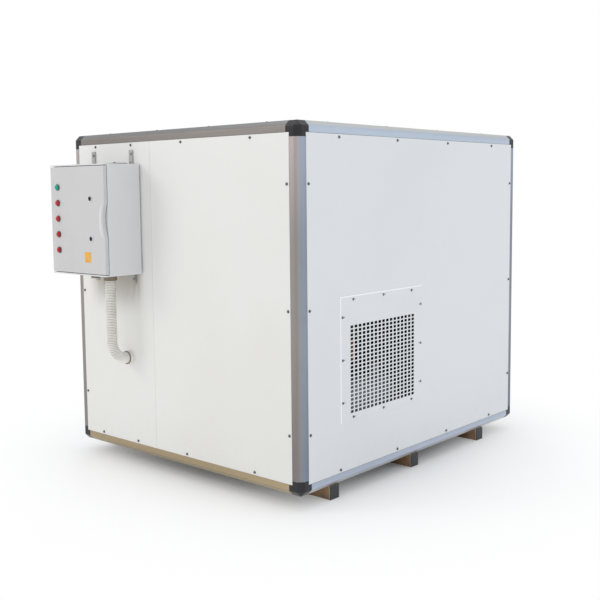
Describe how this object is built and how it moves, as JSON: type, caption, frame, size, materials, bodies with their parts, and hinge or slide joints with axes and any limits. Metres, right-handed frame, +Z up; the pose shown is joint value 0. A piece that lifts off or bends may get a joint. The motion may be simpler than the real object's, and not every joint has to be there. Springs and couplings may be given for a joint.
{
  "type": "refrigerated air dryer",
  "caption": "Panelled cabinet on skids with a wall-hung control box, a cooling-air grille and fans, and the refrigeration and compressed-air circuits inside.",
  "frame": {"origin": "centre of the middle skid's underside, on the floor", "axes": "+Z up; -Y is the front with the control box; +X is the intake face; -X is the face with the fans; +Y is the rear with the air flanges"},
  "size_m": [1.4745, 2.009, 1.565],
  "materials": {
    "skid_paint": "matte",
    "black_plastic": "satin",
    "frame_aluminium": "satin",
    "panel_white": "satin",
    "floor_steel": "satin",
    "lining_foam": "matte",
    "zinc_steel": "satin",
    "box_grey": "satin",
    "gasket_rubber": "matte",
    "lock_chrome": "polished",
    "lock_steel": "satin",
    "lamp_white": "gloss",
    "lens_green": "gloss",
    "lens_red": "gloss",
    "plate_amber": "satin",
    "gear_plastic": "satin",
    "breaker_plastic": "satin",
    "toggle_plastic": "gloss",
    "conduit_plastic": "satin",
    "vessel_paint": "satin",
    "wrap_foam": "matte",
    "stand_paint": "satin",
    "brass": "satin",
    "handle_red": "gloss",
    "compressor_paint": "satin",
    "foot_rubber": "matte",
    "receiver_paint": "satin",
    "drier_paint": "gloss",
    "copper": "satin",
    "fin_aluminium": "satin",
    "shroud_steel": "satin",
    "guard_paint": "satin",
    "fan_plastic": "satin"
  },
  "bodies": {
    "cabinet": {"skids": "skid_paint", "skid_end_caps": "black_plastic", "base_rails": "frame_aluminium", "corner_posts": "frame_aluminium", "top_rails": "frame_aluminium", "corner_blocks": "black_plastic", "floor_plate": "floor_steel", "front_panel_left": "panel_white", "front_panel_right": "panel_white", "right_panel": "panel_white", "rear_panel": "panel_white", "left_panel": "panel_white", "roof_panel": "panel_white", "acoustic_lining": "lining_foam", "panel_screws": "zinc_steel", "intake_grille": "panel_white", "control_box": "box_grey", "mounting_strips": "zinc_steel", "blanking_plates": "guard_paint", "box_hinge_leaves": "zinc_steel", "mounting_plate": "zinc_steel", "control_gear": "gear_plastic", "breaker": "breaker_plastic", "conduit_fittings": "conduit_plastic", "conduit": "conduit_plastic", "precooler": "vessel_paint", "evaporator": "vessel_paint", "vessel_wraps": "wrap_foam", "vessel_stand": "stand_paint", "moisture_separator": "vessel_paint", "air_inlet_pipe": "vessel_paint", "air_outlet_pipe": "vessel_paint", "inner_air_pipes": "vessel_paint", "drain_line": "brass", "auto_drain": "gear_plastic", "compressor": "compressor_paint", "compressor_feet": "foot_rubber", "liquid_receiver": "receiver_paint", "filter_drier": "drier_paint", "expansion_valve": "brass", "refrigerant_lines": "copper", "condenser_fins": "fin_aluminium", "condenser_tubes": "copper", "fan_shroud": "shroud_steel", "fan_mounts": "guard_paint"},
    "door": {"box_door": "box_grey", "door_gasket": "gasket_rubber", "door_hinge_leaves": "zinc_steel", "lock_housings": "lock_chrome", "lamp_holders": "lamp_white", "green_lens": "lens_green", "red_lenses": "lens_red", "blank_plate": "plate_amber"},
    "upper_lock": {"upper_lock": "lock_steel"},
    "lower_lock": {"lower_lock": "lock_steel"},
    "breaker_toggle": {"breaker_toggle": "toggle_plastic"},
    "drain_handle": {"drain_handle": "handle_red"},
    "receiver_handwheel": {"receiver_handwheel": "handle_red"},
    "front_fan": {"front_fan": "fan_plastic"},
    "rear_fan": {"rear_fan": "fan_plastic"}
  },
  "joints": [
    {"name": "door_hinge", "type": "hinge", "parent": "cabinet", "child": "door", "pos_m": [-0.6275, -1.0055, 1.163], "axis": [0, 0, -1], "range_deg": [0, 120]},
    {"name": "upper_lock_turn", "type": "hinge", "parent": "door", "child": "upper_lock", "pos_m": [-0.322, -1.024, 1.259], "axis": [0, 1, 0], "range_deg": [0, 90]},
    {"name": "lower_lock_turn", "type": "hinge", "parent": "door", "child": "lower_lock", "pos_m": [-0.322, -1.024, 1.08], "axis": [0, -1, 0], "range_deg": [0, 90]},
    {"name": "breaker_throw", "type": "hinge", "parent": "cabinet", "child": "breaker_toggle", "pos_m": [-0.527, -0.909, 1.263], "axis": [-1, 0, 0], "range_deg": [0, 60]},
    {"name": "drain_valve_turn", "type": "hinge", "parent": "cabinet", "child": "drain_handle", "pos_m": [0, 0.635, 0.1575], "axis": [0, 0, 1], "range_deg": [0, 90]},
    {"name": "receiver_valve_turn", "type": "hinge", "parent": "cabinet", "child": "receiver_handwheel", "pos_m": [0.48, 0.01, 0.431], "axis": [0, 0, 1], "range_deg": [0, 1080]},
    {"name": "front_fan_spin", "type": "hinge", "parent": "cabinet", "child": "front_fan", "pos_m": [-0.65, -0.233, 0.664], "axis": [-1, 0, 0], "continuous": true},
    {"name": "rear_fan_spin", "type": "hinge", "parent": "cabinet", "child": "rear_fan", "pos_m": [-0.65, 0.327, 0.664], "axis": [-1, 0, 0], "continuous": true}
  ]
}
